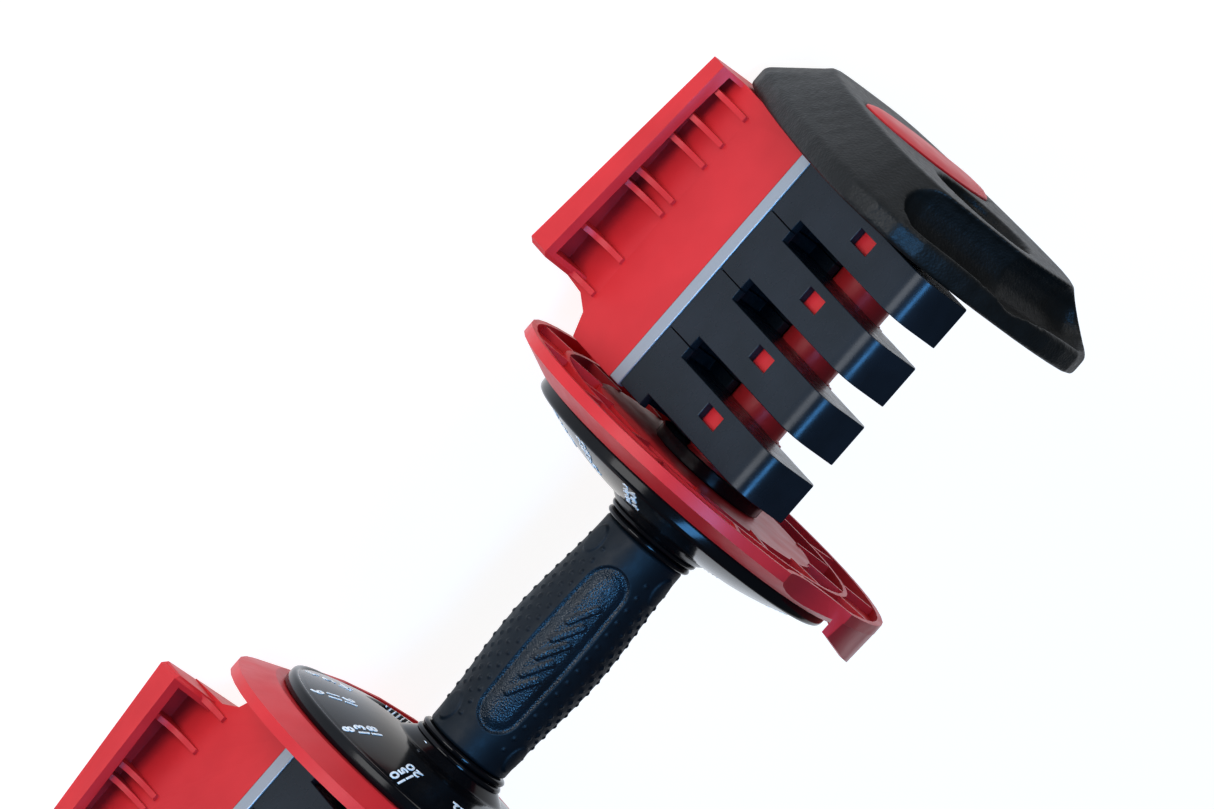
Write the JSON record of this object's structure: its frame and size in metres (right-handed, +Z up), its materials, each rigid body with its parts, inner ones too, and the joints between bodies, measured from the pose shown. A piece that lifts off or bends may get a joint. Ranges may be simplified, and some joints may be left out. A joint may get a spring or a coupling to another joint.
{
  "type": "adjustable dumbbell",
  "caption": "Adjustable dumbbell with a rubber grip, a rotating selector dial and red disc at each end, and hook-shaped plates held in footed cradles with end caps.",
  "frame": {"origin": "on the floor under the middle of the handle, centre of the bounding box", "axes": "+X along the handle towards the right head, +Y the side that the plates' windows face, +Z up from the cradles' feet"},
  "size_m": [0.446, 0.1668, 0.1744],
  "materials": {
    "grip_rubber": "moulded dark blue-black rubber, satin, pebbled palm panel",
    "black_gloss": "polished black plastic with white printed digits",
    "red_plastic": "satin moulded red plastic",
    "plate_steel": "satin blue-black powder coat",
    "bright_steel": "turned steel",
    "silver_trim": "satin anodised",
    "cap_plastic": "leather-grained black plastic"
  },
  "bodies": {
    "handle": {"grip_sleeve": "grip_rubber", "axle_rod": "bright_steel", "right_ferrule": "black_gloss", "left_ferrule": "black_gloss", "right_axle_nut": "bright_steel", "left_axle_nut": "bright_steel", "right_detent_ball": "bright_steel", "left_detent_ball": "bright_steel", "right_detent_spring": "bright_steel", "left_detent_spring": "bright_steel"},
    "right_selector": {"right_dial": "black_gloss", "right_disc": "red_plastic", "right_core_tube": "red_plastic", "right_hub_collar": "black_gloss", "right_selector_ring_1": "red_plastic", "right_selector_ring_2": "red_plastic", "right_selector_ring_3": "red_plastic", "right_selector_ring_4": "red_plastic"},
    "right_plates": {"right_plate_1": "plate_steel", "right_plate_2": "plate_steel", "right_plate_3": "plate_steel", "right_plate_4": "plate_steel", "right_lock_slide_1": "red_plastic", "right_lock_slide_2": "red_plastic", "right_lock_slide_3": "red_plastic", "right_lock_slide_4": "red_plastic"},
    "right_base": {"right_cradle": "red_plastic", "right_strip_front": "silver_trim", "right_strip_back": "silver_trim", "right_end_cap": "cap_plastic", "right_plaque": "red_plastic"},
    "left_selector": {"left_dial": "black_gloss", "left_disc": "red_plastic", "left_core_tube": "red_plastic", "left_hub_collar": "black_gloss", "left_selector_ring_1": "red_plastic", "left_selector_ring_2": "red_plastic", "left_selector_ring_3": "red_plastic", "left_selector_ring_4": "red_plastic"},
    "left_plates": {"left_plate_1": "plate_steel", "left_plate_2": "plate_steel", "left_plate_3": "plate_steel", "left_plate_4": "plate_steel", "left_lock_slide_1": "red_plastic", "left_lock_slide_2": "red_plastic", "left_lock_slide_3": "red_plastic", "left_lock_slide_4": "red_plastic"},
    "left_base": {"left_cradle": "red_plastic", "left_strip_front": "silver_trim", "left_strip_back": "silver_trim", "left_end_cap": "cap_plastic", "left_plaque": "red_plastic"}
  },
  "joints": [
    {"name": "right_selector_turn", "type": "hinge", "parent": "handle", "child": "right_selector", "pos_m": [0.07, 0, 0.091], "axis": [1, 0, 0], "continuous": true},
    {"name": "right_plate_lift", "type": "slide", "parent": "handle", "child": "right_plates", "axis": [0, 0, -1], "range_m": [0, 0.1]},
    {"name": "right_cradle_lift", "type": "slide", "parent": "right_plates", "child": "right_base", "axis": [0, 0, -1], "range_m": [0, 0.07]},
    {"name": "left_selector_turn", "type": "hinge", "parent": "handle", "child": "left_selector", "pos_m": [-0.07, 0, 0.091], "axis": [1, 0, 0], "continuous": true},
    {"name": "left_plate_lift", "type": "slide", "parent": "handle", "child": "left_plates", "axis": [0, 0, -1], "range_m": [0, 0.1]},
    {"name": "left_cradle_lift", "type": "slide", "parent": "left_plates", "child": "left_base", "axis": [0, 0, -1], "range_m": [0, 0.07]}
  ]
}
